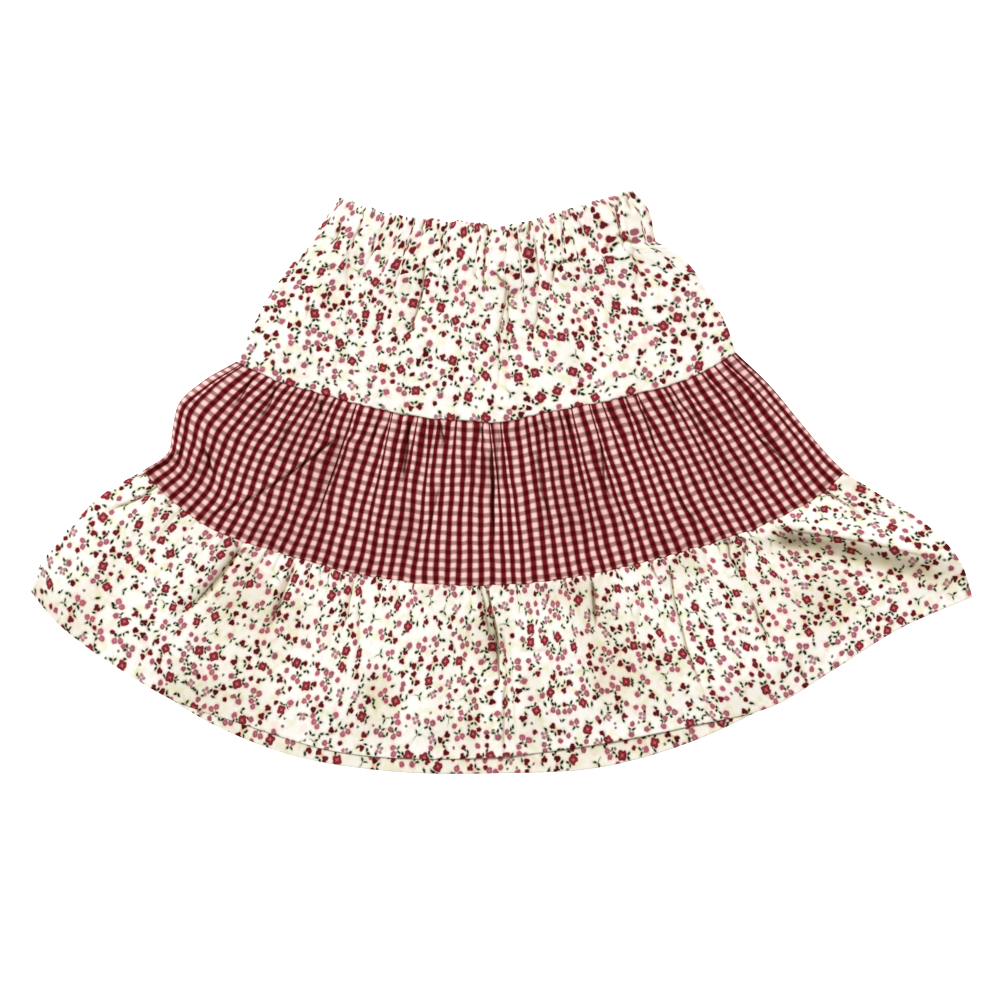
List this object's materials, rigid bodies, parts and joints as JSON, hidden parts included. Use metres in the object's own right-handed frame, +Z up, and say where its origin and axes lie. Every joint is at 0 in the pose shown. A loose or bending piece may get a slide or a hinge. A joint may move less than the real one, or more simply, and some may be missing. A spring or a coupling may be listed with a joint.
{
  "type": "tiered ruffle skirt",
  "caption": "Elastic-waist skirt in gathered tiers of ditsy floral cotton and red gingham, laid flat with its front up, its hem flared and the back hem showing below the front.",
  "frame": {"origin": "on the underside, at the middle of the bounding box", "axes": "+X across the skirt to the wearer's left as it lies front up, +Y from hem to waist, +Z up out of the front"},
  "size_m": [0.726, 0.45, 0.0132],
  "materials": {
    "ivory_floral_poplin": "matt cotton poplin, ivory with a small scattered print of crimson flowers, pink cherries and dark green leaves",
    "red_gingham_poplin": "matt yarn-dyed cotton gingham in crimson and off-white"
  },
  "bodies": {
    "root": {"waist_casing_front": "ivory_floral_poplin", "waist_casing_back": "ivory_floral_poplin", "top_tier_front": "ivory_floral_poplin", "top_tier_back": "ivory_floral_poplin", "middle_tier_front": "red_gingham_poplin", "middle_tier_back": "red_gingham_poplin", "bottom_tier_front": "ivory_floral_poplin", "bottom_tier_back": "ivory_floral_poplin", "back_hem_turning": "ivory_floral_poplin"}
  },
  "joints": []
}
